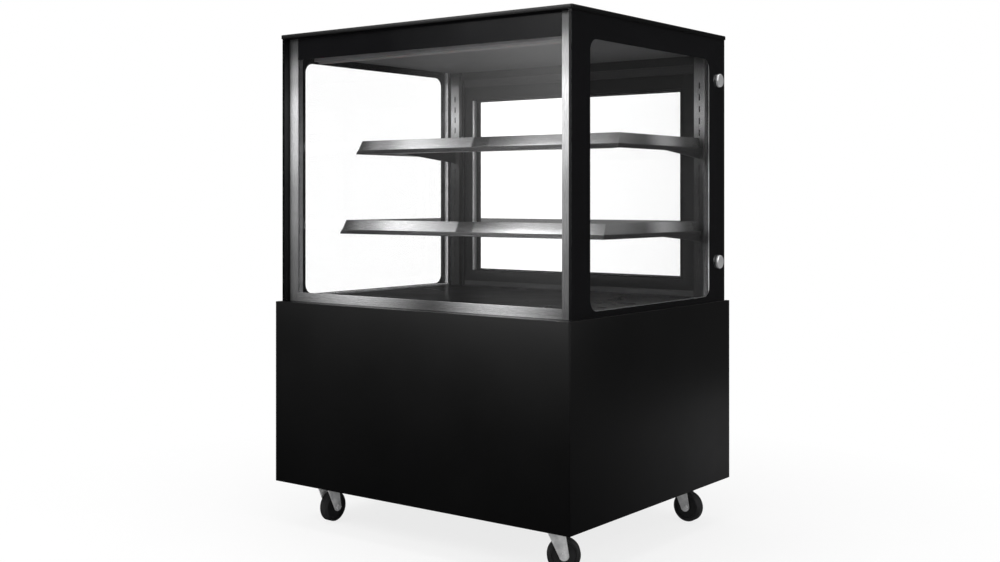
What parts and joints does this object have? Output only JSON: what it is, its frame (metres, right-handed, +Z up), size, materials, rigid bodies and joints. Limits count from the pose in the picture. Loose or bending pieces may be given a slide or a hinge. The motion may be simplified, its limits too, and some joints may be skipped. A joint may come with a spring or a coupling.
{
  "type": "refrigerated display cabinet",
  "caption": "Floor-standing refrigerated cake display with a glass box, two lit glass shelves, sliding rear doors and a closed base on swivel casters.",
  "frame": {"origin": "centre of the bounding box's lower face, on the floor under the cabinet", "axes": "+X to the right seen from the customer's side, +Y from the front glass to the rear doors, +Z up"},
  "size_m": [0.9, 0.73, 1.237],
  "materials": {
    "black_steel": "satin",
    "frame_steel": "satin",
    "stainless": "satin",
    "polished_trim": "polished",
    "bright_steel": "satin",
    "ceiling_steel": "satin",
    "zinc": "satin",
    "chrome": "polished",
    "fin_aluminium": "satin",
    "spacer_aluminium": "matte",
    "door_aluminium": "satin",
    "copper": "satin",
    "clear_glass": "gloss",
    "black_border": "gloss",
    "black_frame": "satin",
    "track_plastic": "satin",
    "control_plastic": "matte",
    "display_window": "gloss",
    "key_plastic": "matte",
    "rocker_red": "gloss",
    "rocker_green": "gloss",
    "foam": "matte",
    "fan_plastic": "matte",
    "fan_blade": "satin",
    "compressor_black": "gloss",
    "lamp_housing": "satin",
    "wheel_rubber": "matte"
  },
  "bodies": {
    "cabinet": {"base_frame": "frame_steel", "front_panel": "black_steel", "left_panel": "black_steel", "right_panel": "black_steel", "rear_grille": "black_steel", "control_fascia": "black_steel", "temperature_controller": "control_plastic", "controller_display": "display_window", "switch_housings": "control_plastic", "power_gland": "control_plastic", "fixings": "zinc", "well_insulation": "foam", "well_liner": "stainless", "deck_pan": "black_steel", "evaporator_coil": "fin_aluminium", "evaporator_fan_frames": "fan_plastic", "condenser_coil": "fin_aluminium", "condenser_shroud": "frame_steel", "condenser_fan_motor": "frame_steel", "compressor": "compressor_black", "refrigerant_tubes": "copper", "condensate_pan": "stainless", "side_glass": "clear_glass", "side_borders": "black_border", "front_glass": "clear_glass", "glass_spacers": "spacer_aluminium", "front_trim": "polished_trim", "front_header": "black_border", "glass_buttons": "chrome", "rear_frame": "black_frame", "door_tracks": "track_plastic", "ceiling_panel": "ceiling_steel", "lid": "black_steel", "shelf_standards": "bright_steel", "shelf_brackets": "bright_steel", "lower_shelf_frame": "polished_trim", "upper_shelf_frame": "polished_trim", "shelf_panes": "clear_glass", "lamp_strips": "lamp_housing", "caster_plates": "zinc"},
    "left_door": {"left_door_frame": "door_aluminium", "left_door_glass": "clear_glass"},
    "right_door": {"right_door_frame": "door_aluminium", "right_door_glass": "clear_glass"},
    "condenser_fan": {"condenser_fan": "fan_blade"},
    "evaporator_fan_left": {"evaporator_fan_left": "fan_plastic"},
    "evaporator_fan_right": {"evaporator_fan_right": "fan_plastic"},
    "set_key": {"set_key": "key_plastic"},
    "down_key": {"down_key": "key_plastic"},
    "up_key": {"up_key": "key_plastic"},
    "power_rocker": {"power_rocker": "rocker_red"},
    "light_rocker": {"light_rocker": "rocker_green"},
    "front_left_fork": {"front_left_fork": "zinc"},
    "front_left_wheel": {"front_left_wheel": "wheel_rubber"},
    "front_right_fork": {"front_right_fork": "zinc"},
    "front_right_wheel": {"front_right_wheel": "wheel_rubber"},
    "rear_left_fork": {"rear_left_fork": "zinc"},
    "rear_left_wheel": {"rear_left_wheel": "wheel_rubber"},
    "rear_right_fork": {"rear_right_fork": "zinc"},
    "rear_right_wheel": {"rear_right_wheel": "wheel_rubber"}
  },
  "joints": [
    {"name": "left_door_slide", "type": "slide", "parent": "cabinet", "child": "left_door", "axis": [1, 0, 0], "range_m": [0, 0.349]},
    {"name": "right_door_slide", "type": "slide", "parent": "cabinet", "child": "right_door", "axis": [1, 0, 0], "range_m": [-0.349, 0]},
    {"name": "front_left_swivel", "type": "hinge", "parent": "cabinet", "child": "front_left_fork", "pos_m": [-0.35, -0.285, 0.0957], "axis": [0, 0, 1], "continuous": true},
    {"name": "front_left_roll", "type": "hinge", "parent": "front_left_fork", "child": "front_left_wheel", "pos_m": [-0.35, -0.26, 0.0375], "axis": [-1, 0, 0], "continuous": true},
    {"name": "front_right_swivel", "type": "hinge", "parent": "cabinet", "child": "front_right_fork", "pos_m": [0.35, -0.285, 0.0957], "axis": [0, 0, 1], "continuous": true},
    {"name": "front_right_roll", "type": "hinge", "parent": "front_right_fork", "child": "front_right_wheel", "pos_m": [0.36997, -0.26995, 0.0375], "axis": [-0.6018, 0.7986, 0], "continuous": true},
    {"name": "rear_left_swivel", "type": "hinge", "parent": "cabinet", "child": "rear_left_fork", "pos_m": [-0.35, 0.285, 0.0957], "axis": [0, 0, 1], "continuous": true},
    {"name": "rear_left_roll", "type": "hinge", "parent": "rear_left_fork", "child": "rear_left_wheel", "pos_m": [-0.34145, 0.30849, 0.0375], "axis": [-0.9397, 0.342, 0], "continuous": true},
    {"name": "rear_right_swivel", "type": "hinge", "parent": "cabinet", "child": "rear_right_fork", "pos_m": [0.35, 0.285, 0.0957], "axis": [0, 0, 1], "continuous": true},
    {"name": "rear_right_roll", "type": "hinge", "parent": "rear_right_fork", "child": "rear_right_wheel", "pos_m": [0.375, 0.285, 0.0375], "axis": [0, 1, 0], "continuous": true},
    {"name": "condenser_fan_spin", "type": "hinge", "parent": "cabinet", "child": "condenser_fan", "pos_m": [0.15, 0.248, 0.2305], "axis": [0, 1, 0], "continuous": true},
    {"name": "evaporator_fan_left_spin", "type": "hinge", "parent": "cabinet", "child": "evaporator_fan_left", "pos_m": [-0.13, 0.0697, 0.485], "axis": [0, 1, 0], "continuous": true},
    {"name": "evaporator_fan_right_spin", "type": "hinge", "parent": "cabinet", "child": "evaporator_fan_right", "pos_m": [0.13, 0.0697, 0.485], "axis": [0, 1, 0], "continuous": true},
    {"name": "set_key_press", "type": "slide", "parent": "cabinet", "child": "set_key", "axis": [0, -1, 0], "range_m": [0, 0.0008], "stiffness_N_per_m": 400, "springref_m": -0.0008},
    {"name": "down_key_press", "type": "slide", "parent": "cabinet", "child": "down_key", "axis": [0, -1, 0], "range_m": [0, 0.0008], "stiffness_N_per_m": 400, "springref_m": -0.0008},
    {"name": "up_key_press", "type": "slide", "parent": "cabinet", "child": "up_key", "axis": [0, -1, 0], "range_m": [0, 0.0008], "stiffness_N_per_m": 400, "springref_m": -0.0008},
    {"name": "power_rocker_tilt", "type": "hinge", "parent": "cabinet", "child": "power_rocker", "pos_m": [0.18, 0.3575, 0.4579], "axis": [-1, 0, 0], "range_deg": [0, 16]},
    {"name": "light_rocker_tilt", "type": "hinge", "parent": "cabinet", "child": "light_rocker", "pos_m": [0.14, 0.3575, 0.4579], "axis": [-1, 0, 0], "range_deg": [0, 16]}
  ]
}
